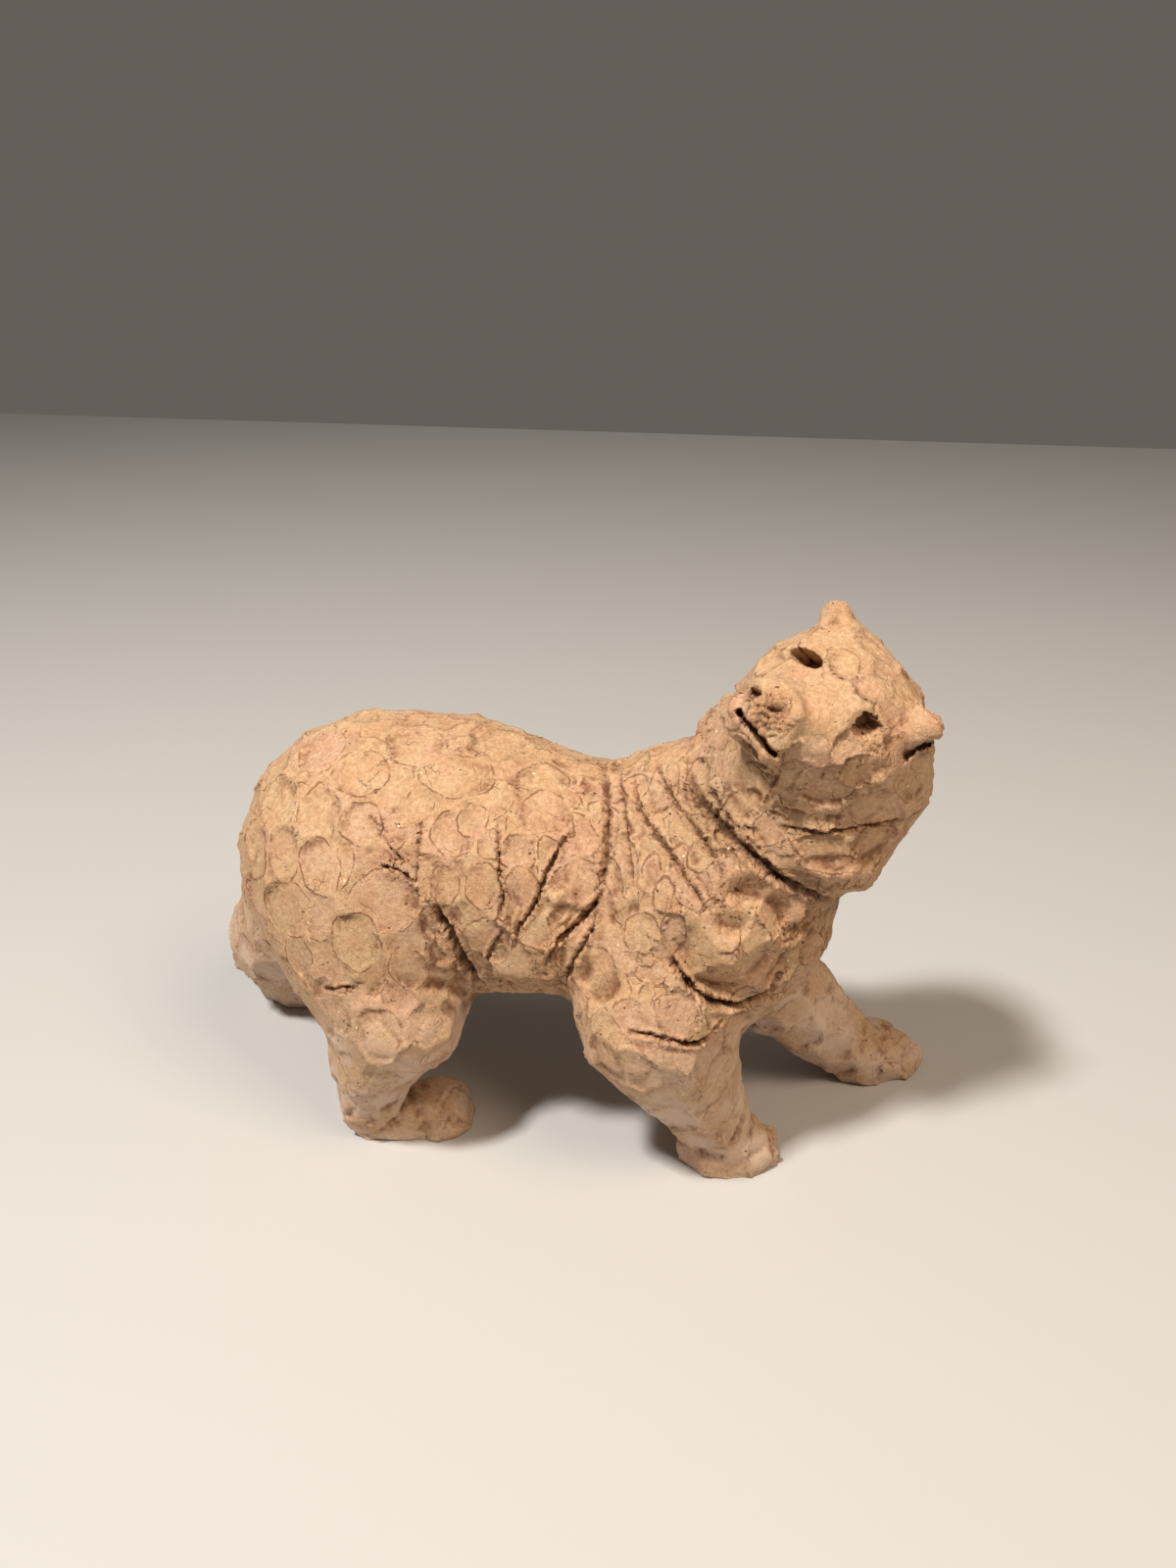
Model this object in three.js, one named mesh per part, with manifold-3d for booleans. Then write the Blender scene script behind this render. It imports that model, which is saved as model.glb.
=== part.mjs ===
// A walking bear of fired clay, one solid piece. It was pressed together from lumps of clay, creased where
// the skin folds and cut all over with a knife into small flat facets, and its eyes were poked in with a
// stick. Millimetres, +Z up, chest towards +X, left side towards +Y, the head turned to the right.
// The origin is under the middle of the figure, on the ground that its four soles stand on.
import * as THREE from "three";
import { MarchingCubes } from "three/addons/objects/MarchingCubes.js";
import { mergeVertices } from "three/addons/utils/BufferGeometryUtils.js";
import Module from "manifold-3d";

const { Vector3, Matrix3, Matrix4 } = THREE;

// Driving sizes, in millimetres
const figureLength = 258; // heel of the left hind foot to the toes of the left front paw
const eyeWidth = 5.4;
const eyeDepth = 8;
const nostrilWidth = 2.6;
const nostrilDepth = 3;
const mouthGap = 2;
const mouthDepth = 7;
const mouthLength = 30; // runs out at both sides of the muzzle
const rumpFacet = 16; // width of one knife cut
const headFacet = 12;
const legFacet = 10;
const foldWidth = 6;
const foldDepth = 3.4;
const wrinkleWidth = 4;
const wrinkleDepth = 1.8;
const triangleBudget = 8800;

// The pose and proportions below are written for a bear of this length, and share turns them to its size
const posedLength = 258;
const share = figureLength / posedLength;

// Lumps of clay. Each joins the ones before it with a fillet of the size called blend.
const lumps = [];
const upright = new Matrix3();

function leaning(degreesX, degreesY, degreesZ) {
  const turn = [degreesX, degreesY, degreesZ].map(THREE.MathUtils.degToRad);
  const euler = new THREE.Euler(...turn, "ZYX");
  return new Matrix3().setFromMatrix4(new Matrix4().makeRotationFromEuler(euler));
}

function place(point) {
  return new Vector3(...point).multiplyScalar(share);
}

function ball(at, radii, blend, axes = upright) {
  const half = radii.map((radius) => radius * share);
  lumps.push({ kind: "ball", at: place(at), half, axes, blend: blend * share });
}

function block(at, halves, round, blend, axes = upright) {
  const half = halves.map((size) => size * share);
  lumps.push({ kind: "block", at: place(at), half, round: round * share, axes, blend: blend * share });
}

function limb(from, to, fromRadius, toRadius, blend) {
  const radii = [fromRadius * share, toRadius * share];
  lumps.push({ kind: "limb", from: place(from), to: place(to), radii, blend: blend * share });
}

// Trunk
ball([-57, 1, 90], [49, 46, 48], 10); // rump
ball([-32, 3, 97], [32, 37, 40], 12); // loin
ball([-8, 0, 91], [42, 39, 38], 14); // belly
ball([44, 0, 88], [40, 37, 42], 12); // chest
ball([30, 3, 109], [24, 27, 23.5], 10); // withers
limb([44, 0, 104], [66, -1, 120], 33, 28, 8); // neck
ball([73, -1, 126], [17, 33, 32.5], 3, leaning(0, -41, 0)); // ruff
ball([51, 3, 140], [12, 17, 12], 3); // top of the ruff

// Right hind leg
ball([-57, -22, 70], [27, 24, 33], 8, leaning(0, 12, 0)); // thigh
limb([-47, -29, 52], [-56.5, -28, 33], 22, 14, 6); // knee
limb([-56.5, -28, 33], [-61, -27, 14], 14, 11.5, 6); // shank
block([-49.5, -17, 2.5], [20.5, 13.5, 9], 7.5, 3, leaning(0, 0, 8)); // foot

// Left hind leg
limb([-88, 24, 70], [-117, 33, 32], 28, 20, 8); // shank
ball([-112, 43, 8], [24.5, 13.5, 14], 12, leaning(0, 0, 6)); // foot

// Right front leg
ball([38, -20, 84], [25, 19, 32], 8, leaning(0, 16, 0)); // shoulder
ball([53, -24, 92], [17, 16, 14], 3, leaning(0, 30, 0)); // point of the shoulder
limb([32.5, -27, 60], [50, -18, 20], 23.5, 13.2, 10); // forearm
ball([57, -14, 4], [19, 14, 11], 4, leaning(0, 0, 12)); // paw

// Left front leg
limb([60, 20, 51], [89, 36, 15], 19, 13.5, 8); // arm
ball([102, 42, 5], [20, 15, 11], 4, leaning(0, 0, 20)); // paw

// The head's own directions: where the face looks, the bear's left, and up through the crown
const facing = new Vector3(-0.468, -0.786, 0.404).normalize();
const leftwards = new Vector3(0.59, -0.618, -0.519).projectOnPlane(facing).normalize();
const crownwards = facing.clone().cross(leftwards);
const headAxes = new Matrix3().setFromMatrix4(new Matrix4().makeBasis(facing, leftwards, crownwards));
const headCentre = new Vector3(77.3, -5, 146.9);
const headRadius = 27.8;

// A place on the head, in shares of its radius
function onHead(forward, left, up) {
  const point = headCentre.clone();
  point.addScaledVector(facing, forward * headRadius);
  point.addScaledVector(leftwards, left * headRadius);
  point.addScaledVector(crownwards, up * headRadius);
  return point.toArray();
}

ball(onHead(0.03, -0.026, -0.015), [headRadius, headRadius * 1.02, headRadius * 0.98], 4, headAxes); // skull
ball([83.4, 0, 132.2], [23.2, 25, 22.8], 6); // jowl
ball([97, -6, 138], [9.5, 11, 11], 5); // corner of the jaw
limb(onHead(0.7, 0.2, 0.05), onHead(1.15, 0.12, 0), 16, 8.5, 8); // bridge of the nose
block(onHead(1.03, 0, 0.05), [11, 8.5, 6.5], 3.5, 5, headAxes); // muzzle
block(onHead(1.0, 0, -0.26), [9, 9, 5], 3, 2, headAxes); // lower jaw
limb(onHead(0.05, -0.58, 0.56), onHead(0.12, -0.82, 0.76), 12, 5.2, 5); // right ear
limb(onHead(0.05, 0.56, 0.58), onHead(0.09, 0.65, 0.82), 11, 5, 5); // left ear

// Signed distance to each kind of lump, below zero inside the clay
function lengthOf(x, y, z) {
  return Math.sqrt(x * x + y * y + z * z);
}

function ballDistance(lump, x, y, z) {
  const [a, b, c] = lump.half;
  const reach = lengthOf(x / a, y / b, z / c);
  const slope = lengthOf(x / (a * a), y / (b * b), z / (c * c));
  return slope < 1e-9 ? -Math.min(a, b, c) : (reach * (reach - 1)) / slope;
}

function blockDistance({ half, round }, x, y, z) {
  const overX = Math.abs(x) - half[0] + round;
  const overY = Math.abs(y) - half[1] + round;
  const overZ = Math.abs(z) - half[2] + round;
  const outside = lengthOf(Math.max(overX, 0), Math.max(overY, 0), Math.max(overZ, 0));
  return outside + Math.min(Math.max(overX, overY, overZ), 0) - round;
}

function limbDistance(lump, x, y, z) {
  const { from, to, radii } = lump;
  const ax = to.x - from.x;
  const ay = to.y - from.y;
  const az = to.z - from.z;
  const px = x - from.x;
  const py = y - from.y;
  const pz = z - from.z;
  const along = (px * ax + py * ay + pz * az) / (ax * ax + ay * ay + az * az);
  const t = Math.min(1, Math.max(0, along));
  return lengthOf(px - ax * t, py - ay * t, pz - az * t) - (radii[0] + (radii[1] - radii[0]) * t);
}

function lumpDistance(lump, x, y, z) {
  if (lump.kind === "limb") return limbDistance(lump, x, y, z);
  const m = lump.axes.elements;
  const dx = x - lump.at.x;
  const dy = y - lump.at.y;
  const dz = z - lump.at.z;
  const along = m[0] * dx + m[1] * dy + m[2] * dz;
  const across = m[3] * dx + m[4] * dy + m[5] * dz;
  const up = m[6] * dx + m[7] * dy + m[8] * dz;
  const distance = lump.kind === "ball" ? ballDistance : blockDistance;
  return distance(lump, along, across, up);
}

function filletMin(a, b, size) {
  const overlap = Math.max(size - Math.abs(a - b), 0) / size;
  return Math.min(a, b) - (overlap * overlap * size) / 4;
}

function smoothBody(x, y, z) {
  let distance = 1e6;
  for (const lump of lumps) distance = filletMin(distance, lumpDistance(lump, x, y, z), lump.blend);
  return distance;
}

const longestSlide = 1.5 * share; // of a point towards the skin, in one round
const probe = 0.4 * share; // step to each side that a field's slope is measured over
const leastSlope = 0.3; // keeps a slide short where the field is flat

// Outward direction and steepness of a field at a point
function gradient(field, point, target) {
  const { x, y, z } = point;
  target.x = field(x + probe, y, z) - field(x - probe, y, z);
  target.y = field(x, y + probe, z) - field(x, y - probe, z);
  target.z = field(x, y, z + probe) - field(x, y, z - probe);
  return target.divideScalar(2 * probe);
}

function slideOntoSurface(field, point, rounds) {
  const slope = new Vector3();
  for (let i = 0; i < rounds; i++) {
    gradient(field, point, slope);
    const gap = field(point.x, point.y, point.z) / Math.max(slope.lengthSq(), leastSlope);
    point.addScaledVector(slope, -THREE.MathUtils.clamp(gap, -longestSlide, longestSlide));
  }
  return slope.normalize();
}

// Creases: a round-bottomed furrow along a curve laid on the clay, shallow at its ends
const creases = [];
const creaseStep = 4 * share; // between the points of a furrow
const endRise = 2.2; // how fast a furrow gains its full depth
const endDepth = 0.35; // of a step, that a furrow's end has sunk already
const edgeRounding = 1.4 * share; // where a crease breaks through the skin
const creaseReach = 14 * share; // creases are looked for this close to the skin

function crease(points, width, depth) {
  const curve = new THREE.CatmullRomCurve3(points.map(place));
  const steps = Math.ceil(curve.getLength() / creaseStep);
  const radius = (width * width / 4 + depth * depth) / (2 * depth);
  const centres = [];
  for (let i = 0; i <= steps; i++) {
    const centre = curve.getPointAt(i / steps);
    const outwards = slideOntoSurface(smoothBody, centre, 5);
    const along = (i + endDepth) / (steps + 2 * endDepth);
    const fade = Math.min(1, endRise * Math.sin(Math.PI * along));
    centres.push(centre.addScaledVector(outwards, radius - depth * fade));
  }
  const bounds = new THREE.Sphere().setFromPoints(centres);
  const radii = [radius, radius];
  const spans = centres.slice(1).map((to, i) => ({ from: centres[i], to, radii }));
  creases.push({ spans, radius, bounds });
}

// Folds of the skin, the main ones on both flanks
for (const side of [1, -1]) {
  const fold = (points, width, depth) => crease(points.map(([x, y, z]) => [x, y * side, z]), width, depth);
  fold([[17, -9, 129], [18, -22, 119], [18, -28, 109], [16, -33, 101]], foldWidth, foldDepth); // waist
  fold([[16, -33, 100], [12, -34, 95], [7, -36, 89]], foldWidth, foldDepth * 1.3); // armpit
  fold([[8, -23, 119], [3, -32, 108], [-2, -37, 98], [-6, -38, 86]], foldWidth, foldDepth); // flank
  fold([[22, -10, 131], [27, -22, 125], [38, -32, 116], [50, -38, 102]], foldWidth, foldDepth * 0.8); // neck
  fold([[52, -25, 131], [66, -32, 128], [80, -31, 128], [97, -20, 127]], foldWidth, foldDepth * 0.8); // chin
}
crease([[-30, -40, 97], [-24, -39, 82], [-19, -33, 69]], foldWidth * 1.3, foldDepth * 1.2); // thigh
crease([[38, -40, 92], [48, -40, 80], [57, -34, 72], [67, -25, 76]], foldWidth, foldDepth); // shoulder
const wrinkles = [
  [[-10, -32, 112], [-9, -38, 101], [-11, -39, 92]], // belly
  [[-9, -39, 90], [-13, -37, 80]],
  [[-46, -39, 108], [-41, -40, 107], [-35, -40, 103]], // above the thigh
  [[-64, -45, 69], [-58, -46, 71], [-53, -46, 72]], // back of the knee
  [[28, -5, 135], [35, -20, 130], [44, -29, 120]], // neck
  [[39, -13, 134], [47, -26, 127], [58, -31, 120], [70, -31, 110]], // under the ruff
  [[56, -24, 138], [66, -32, 135], [79, -30, 132]], // cheek
  [[22, -45, 69], [28, -48, 68], [42, -47, 67], [55, -34, 58]], // elbow
];
for (const points of wrinkles) crease(points, wrinkleWidth, wrinkleDepth);

function creaseDistance(furrow, x, y, z) {
  let nearest = 1e6;
  for (const span of furrow.spans) nearest = Math.min(nearest, limbDistance(span, x, y, z));
  return nearest;
}

function creasedBody(x, y, z) {
  let distance = smoothBody(x, y, z);
  if (Math.abs(distance) > creaseReach) return distance;
  for (const furrow of creases) {
    const { center, radius } = furrow.bounds;
    const away = lengthOf(x - center.x, y - center.y, z - center.z) - radius - furrow.radius;
    if (away < edgeRounding) distance = -filletMin(-distance, creaseDistance(furrow, x, y, z), edgeRounding);
  }
  return distance;
}

// The room that the clay is looked for in, divided into cells and blocks of cells
const roomLow = place([-148, -84, -16]);
const roomHigh = place([132, 84, 204]);
const blockCells = 4;
const fineness = 128; // cells along each side of the room
const cells = blockCells * Math.round(fineness / blockCells);
const blockReach = 0.65; // of a block's diagonal: the skin can't be in a block whose middle is farther away

// The skin of a field as a closed mesh. Blocks of cells far from the skin take one value.
function skin(field, low, high) {
  const cell = high.clone().sub(low).divideScalar(cells);
  const farAway = cell.length() * blockCells * blockReach;
  const cubes = new MarchingCubes(cells, new THREE.MeshStandardMaterial(), false, false, 400000);
  cubes.isolation = 0;
  const at = (i, j, k) => [low.x + i * cell.x, low.y + j * cell.y, low.z + k * cell.z];
  for (let k = 0; k < cells; k += blockCells) {
    for (let j = 0; j < cells; j += blockCells) {
      for (let i = 0; i < cells; i += blockCells) {
        const middle = field(...at(i + blockCells / 2, j + blockCells / 2, k + blockCells / 2));
        const near = Math.abs(middle) < farAway;
        for (let n = 0; n < blockCells ** 3; n++) {
          const a = i + (n % blockCells);
          const b = j + (Math.floor(n / blockCells) % blockCells);
          const c = k + Math.floor(n / blockCells ** 2);
          cubes.field[a + cells * (b + cells * c)] = near ? -field(...at(a, b, c)) : -middle;
        }
      }
    }
  }
  cubes.update();
  const raw = new THREE.BufferGeometry();
  raw.setAttribute("position", new THREE.BufferAttribute(cubes.positionArray.slice(0, cubes.count * 3), 3));
  const geometry = mergeVertices(raw, 1e-7);
  const half = high.clone().sub(low).divideScalar(2);
  geometry.translate(1, 1, 1).scale(half.x, half.y, half.z).translate(low.x, low.y, low.z);
  return geometry;
}

// Knife cuts: small flats side by side all over, each as deep as the clay bulges across its width
const legTop = 50 * share; // legs lie below it
const rumpFront = -15 * share; // the rump lies behind it
const flatShare = 0.55; // of a cut's width is cut flat, and from there it fades out
const reachShare = 0.8;
const rimShares = [0.42, 0.58]; // where the bulge is measured
const sinking = 1.2; // how deep a cut goes, in bulges
const deepestShare = 0.09; // of a cut's width
const leastTurn = 0.6; // cosine of the widest turn of the skin within one cut
const shallowest = 0.1 * share;

function facetWidth({ x, z }) {
  if (z < legTop) return legFacet;
  return x < rumpFront ? rumpFacet : headFacet;
}

function cutFacets(points, outwards) {
  const order = points.map((_, i) => i);
  let state = 20260;
  for (let i = order.length - 1; i > 0; i--) {
    state = (state * 1103515245 + 12345) % 2147483648;
    const other = state % (i + 1);
    [order[i], order[other]] = [order[other], order[i]];
  }
  const facets = [];
  for (const i of order) {
    const width = facetWidth(points[i]);
    const taken = facets.some((facet) => facet.middle.distanceTo(points[i]) < (width + facet.width) / 2);
    if (!taken) facets.push({ middle: points[i].clone(), normal: outwards[i], width, near: [] });
  }
  for (const facet of facets) {
    let bulge = 0;
    let rim = 0;
    points.forEach((point, i) => {
      const away = point.distanceTo(facet.middle);
      if (away > facet.width * reachShare || outwards[i].dot(facet.normal) < leastTurn) return;
      facet.near.push([i, 1 - THREE.MathUtils.smoothstep(away / facet.width, flatShare, reachShare)]);
      if (away < facet.width * rimShares[0] || away > facet.width * rimShares[1]) return;
      bulge += facet.middle.clone().sub(point).dot(facet.normal);
      rim++;
    });
    facet.depth = rim ? Math.min((bulge / rim) * sinking, facet.width * deepestShare) : 0;
  }
  for (const { middle, normal, near, depth } of facets) {
    if (depth < shallowest) continue;
    for (const [i, pull] of near) {
      const height = points[i].clone().sub(middle).dot(normal) + depth;
      if (height > 0) points[i].addScaledVector(normal, -height * pull);
    }
  }
}

const leastAgreement = 0.35; // cosine of the widest turn of a face when an edge is closed
const smallestFace = 1e-3 * share * share;
const newStamp = 1000; // added when a point has moved, so that its older offers are passed over
const goneStamp = -1e9;
const lengthCost = 2e-4 * share * share; // closes short edges first where all is flat

// Fewer triangles: edges are closed one by one, cheapest first, by how far that moves the faces around them
class Thinner {
  constructor(points, triangles) {
    this.points = points;
    this.faces = triangles.map((corners) => [...corners]);
    this.facesAt = points.map(() => new Set());
    this.faces.forEach((corners, f) => corners.forEach((v) => this.facesAt[v].add(f)));
    this.count = this.faces.length;
    this.errors = points.map(() => new Float64Array(10));
    this.faces.forEach((corners) => this.addPlane(corners));
    this.stamp = new Int32Array(points.length);
    this.heap = [];
    for (const [a, b, c] of this.faces) {
      if (a < b) this.offer(a, b);
      if (b < c) this.offer(b, c);
      if (c < a) this.offer(c, a);
    }
  }

  normalOf([a, b, c], moved = -1, to = null) {
    const [p, q, r] = [a, b, c].map((v) => (v === moved ? to : this.points[v]));
    return new Vector3().subVectors(q, p).cross(new Vector3().subVectors(r, p));
  }

  addPlane(corners) {
    const normal = this.normalOf(corners);
    const area = normal.length() / 2;
    if (area < 1e-12) return;
    normal.divideScalar(2 * area);
    const { x, y, z } = normal;
    const w = -normal.dot(this.points[corners[0]]);
    const terms = [x * x, x * y, x * z, x * w, y * y, y * z, y * w, z * z, z * w, w * w];
    for (const v of corners) terms.forEach((term, i) => (this.errors[v][i] += term * area));
  }

  errorAt(a, b, { x, y, z }) {
    let error = 0;
    for (const q of [this.errors[a], this.errors[b]]) {
      const inX = q[0] * x * x + 2 * x * (q[1] * y + q[2] * z + q[3]);
      const inY = q[4] * y * y + 2 * y * (q[5] * z + q[6]);
      error += inX + inY + q[7] * z * z + 2 * q[8] * z + q[9];
    }
    return error;
  }

  offer(a, b) {
    const [p, q] = [this.points[a], this.points[b]];
    const middle = p.clone().lerp(q, 0.5);
    let best = null;
    for (const spot of [middle, p, q]) {
      const cost = this.errorAt(a, b, spot);
      if (!best || cost < best.cost) best = { cost, spot };
    }
    const cost = best.cost + lengthCost * p.distanceToSquared(q);
    this.push({ cost, a, b, spot: best.spot.clone(), age: this.stamp[a] + this.stamp[b] });
  }

  push(item) {
    const { heap } = this;
    let at = heap.push(item) - 1;
    while (at > 0) {
      const parent = (at - 1) >> 1;
      if (heap[parent].cost <= item.cost) break;
      heap[at] = heap[parent];
      at = parent;
    }
    heap[at] = item;
  }

  pop() {
    const { heap } = this;
    const top = heap[0];
    const last = heap.pop();
    if (!heap.length) return top;
    let at = 0;
    for (;;) {
      let child = 2 * at + 1;
      if (child >= heap.length) break;
      if (child + 1 < heap.length && heap[child + 1].cost < heap[child].cost) child++;
      if (heap[child].cost >= last.cost) break;
      heap[at] = heap[child];
      at = child;
    }
    heap[at] = last;
    return top;
  }

  neighbours(v) {
    const found = new Set();
    for (const f of this.facesAt[v]) this.faces[f].forEach((other) => found.add(other));
    found.delete(v);
    return found;
  }

  // True where the faces around v that don't hold the other end keep facing their own way
  staysSound(v, other, spot) {
    for (const f of this.facesAt[v]) {
      const corners = this.faces[f];
      if (corners.includes(other)) continue;
      const before = this.normalOf(corners);
      const after = this.normalOf(corners, v, spot);
      const limit = leastAgreement * before.length() * after.length();
      if (before.dot(after) <= limit || after.length() < smallestFace) return false;
    }
    return true;
  }

  close({ a, b, spot }) {
    const around = this.neighbours(b);
    const shared = [...this.neighbours(a)].filter((v) => around.has(v));
    if (shared.length !== 2 || !this.staysSound(a, b, spot) || !this.staysSound(b, a, spot)) return;
    for (const f of this.facesAt[b]) {
      const corners = this.faces[f];
      if (corners.includes(a)) {
        corners.forEach((v) => this.facesAt[v].delete(f));
        this.faces[f] = null;
        this.count--;
      } else {
        corners[corners.indexOf(b)] = a;
        this.facesAt[a].add(f);
      }
    }
    this.facesAt[b].clear();
    this.points[a].copy(spot);
    this.errors[a] = this.errors[a].map((term, i) => term + this.errors[b][i]);
    this.stamp[a] += newStamp;
    this.stamp[b] = goneStamp;
    for (const v of this.neighbours(a)) this.offer(a, v);
  }

  thinTo(budget) {
    while (this.count > budget && this.heap.length) {
      const item = this.pop();
      const alive = this.facesAt[item.a].size && this.facesAt[item.b].size;
      if (alive && item.age === this.stamp[item.a] + this.stamp[item.b]) this.close(item);
    }
    return this.faces.filter(Boolean);
  }
}

// Booleans
const wasm = await Module();
wasm.setup();

function solidOf(geometry) {
  const bare = new THREE.BufferGeometry();
  bare.setAttribute("position", geometry.attributes.position);
  bare.setIndex(geometry.index);
  const merged = mergeVertices(bare, 1e-5);
  const vertProperties = new Float32Array(merged.attributes.position.array);
  const triVerts = new Uint32Array(merged.index.array);
  return new wasm.Manifold(new wasm.Mesh({ numProp: 3, vertProperties, triVerts }));
}

function geometryOf(solid) {
  const { vertProperties, triVerts } = solid.getMesh();
  const geometry = new THREE.BufferGeometry();
  geometry.setAttribute("position", new THREE.BufferAttribute(new Float32Array(vertProperties), 3));
  geometry.setIndex(new THREE.BufferAttribute(new Uint32Array(triVerts), 1));
  return geometry;
}

// A tool laid along the head: its own X runs where the face looks
function headTool(geometry, at, axes = headAxes) {
  const matrix = new Matrix4().setFromMatrix3(axes).setPosition(place(at));
  return solidOf(geometry.applyMatrix4(matrix));
}

// A round-ended hole, poked in from the side of the head that degrees turns it towards
function poke(width, depth, at, degrees) {
  const stick = new THREE.SphereGeometry(width / 2, 14, 10).scale((2 * depth) / width, 1, 1);
  return headTool(stick.rotateZ(THREE.MathUtils.degToRad(degrees)), at);
}

function modelClay() {
  const body = skin(creasedBody, roomLow, roomHigh);
  const position = body.attributes.position;
  const points = [];
  for (let i = 0; i < position.count; i++) points.push(new Vector3().fromBufferAttribute(position, i));
  const outwards = points.map((point) => slideOntoSurface(creasedBody, point, 2));
  cutFacets(points, outwards);
  const triangles = [];
  const index = body.index.array;
  for (let i = 0; i < index.length; i += 3) triangles.push([index[i], index[i + 1], index[i + 2]]);
  const faces = new Thinner(points, triangles).thinTo(triangleBudget);
  const thinned = new THREE.BufferGeometry();
  const numbers = points.flatMap((point) => point.toArray());
  thinned.setAttribute("position", new THREE.Float32BufferAttribute(numbers, 3));
  thinned.setIndex(faces.flat());
  return solidOf(thinned);
}

const groundDepth = 60 * share;
const ground = new THREE.BoxGeometry(2 * figureLength, figureLength, groundDepth);
ground.translate(0, 0, -groundDepth / 2);

const rightEye = poke(eyeWidth, eyeDepth, onHead(0.74, -0.47, 0.44), 0);
const leftEye = poke(eyeWidth, eyeDepth, onHead(0.74, 0.5, 0.48), 10);
const rightNostril = poke(nostrilWidth, nostrilDepth, onHead(1.43, -0.18, 0.05), 0);
const leftNostril = poke(nostrilWidth, nostrilDepth, onHead(1.43, 0.04, 0.13), 0);
const slit = new THREE.BoxGeometry(2 * mouthDepth, mouthLength, mouthGap);
const mouth = headTool(slit, onHead(1.42, 0, -0.19));
const underEar = new THREE.SphereGeometry(1, 12, 8).scale(...place([7, 3, 7])).rotateX(0.6);
const earHollow = headTool(underEar, onHead(0.2, 0.93, 0.6));

let solid = modelClay();
for (const cut of [solidOf(ground), rightEye, leftEye, rightNostril, leftNostril, mouth, earHollow]) {
  solid = solid.subtract(cut);
}

// The origin goes under the middle of the figure
const geometry = geometryOf(solid);
geometry.computeBoundingBox();
const middle = geometry.boundingBox.getCenter(new Vector3());
geometry.translate(-middle.x, -middle.y, 0);
geometry.computeVertexNormals();

const firedClay = new THREE.MeshStandardMaterial({ color: 0xd0a077, roughness: 0.92, metalness: 0 });
const bear = new THREE.Mesh(geometry, firedClay);
bear.name = "bear";
const figure = new THREE.Group();
figure.add(bear);
export default figure;
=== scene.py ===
import itertools
import math
import bpy
import numpy as np
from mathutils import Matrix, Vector, noise
from mathutils.bvhtree import BVHTree


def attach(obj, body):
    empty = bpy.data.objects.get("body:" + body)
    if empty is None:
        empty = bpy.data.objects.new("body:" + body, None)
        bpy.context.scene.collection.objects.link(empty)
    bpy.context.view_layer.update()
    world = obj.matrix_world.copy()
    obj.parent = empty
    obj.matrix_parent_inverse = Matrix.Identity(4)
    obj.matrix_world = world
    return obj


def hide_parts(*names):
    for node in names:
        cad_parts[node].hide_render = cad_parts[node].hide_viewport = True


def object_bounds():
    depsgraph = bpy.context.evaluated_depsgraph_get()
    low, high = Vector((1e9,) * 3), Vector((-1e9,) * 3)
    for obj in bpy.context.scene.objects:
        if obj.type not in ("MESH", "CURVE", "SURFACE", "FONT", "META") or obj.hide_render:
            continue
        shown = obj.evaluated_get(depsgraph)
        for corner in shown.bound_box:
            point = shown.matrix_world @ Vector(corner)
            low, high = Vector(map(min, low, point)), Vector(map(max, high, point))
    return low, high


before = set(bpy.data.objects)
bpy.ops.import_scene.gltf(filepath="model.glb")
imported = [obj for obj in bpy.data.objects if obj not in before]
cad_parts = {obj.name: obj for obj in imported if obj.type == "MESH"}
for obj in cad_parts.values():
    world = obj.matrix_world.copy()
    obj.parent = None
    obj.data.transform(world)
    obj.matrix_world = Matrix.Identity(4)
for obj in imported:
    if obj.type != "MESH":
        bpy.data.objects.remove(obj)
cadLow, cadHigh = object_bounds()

millimetre = 0.001

# The view: the picture's frame in pixels, and where its camera stood
picture = {
    "width": 1200,
    "height": 1600,
    "focal": 1203,
    "middle": (620, 880),
    "place": (0.0787, -0.3185, 0.2720),
    "down": 25.0,
    "round": 11.4,
    "sensor": 36.0,
}


def addCamera():
    turn = (math.radians(90 - picture["down"]), 0, math.radians(picture["round"]))
    bpy.ops.object.camera_add(location=picture["place"], rotation=turn)
    camera = bpy.context.object
    camera.data.sensor_width = picture["sensor"]
    camera.data.lens = picture["sensor"] * picture["focal"] / picture["height"]
    camera.data.clip_start = 0.02
    bpy.context.scene.camera = camera
    return np.array(camera.rotation_euler.to_matrix())


cameraAxes = addCamera()
cameraPlace = np.array(picture["place"]) / millimetre
toRight, toTop, toBack = cameraAxes.T


def sightLine(x, y):
    # the way from the camera through a point of the picture
    across = (x - picture["width"] / 2) / picture["focal"]
    down = (y - picture["height"] / 2) / picture["focal"]
    way = across * toRight - down * toTop - toBack
    return way / np.linalg.norm(way)


print("camera placed")

# The figure's skin, worked as a fine mesh. Sizes from here on are in millimetres.
skin = {
    "voxel": 1.25,
    "softenRounds": 4,
    "keptShare": 0.64,
    "faceMiddle": (64.0, -26.0, 150.0),
    "faceReach": 34.0,
    "shoulderMiddle": (60.0, -40.0, 90.0),
    "shoulderReach": 22.0,
    "faceRounds": 2,
    "cell": 9.0,
    "spike": 0.5,
    "seed": 11,
}


def activate(piece):
    bpy.ops.object.select_all(action="DESELECT")
    piece.select_set(True)
    bpy.context.view_layer.objects.active = piece


def applyModifier(piece, kind, **settings):
    activate(piece)
    modifier = piece.modifiers.new(kind.lower(), kind)
    for name, value in settings.items():
        setattr(modifier, name, value)
    bpy.ops.object.modifier_apply(modifier=modifier.name)


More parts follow.
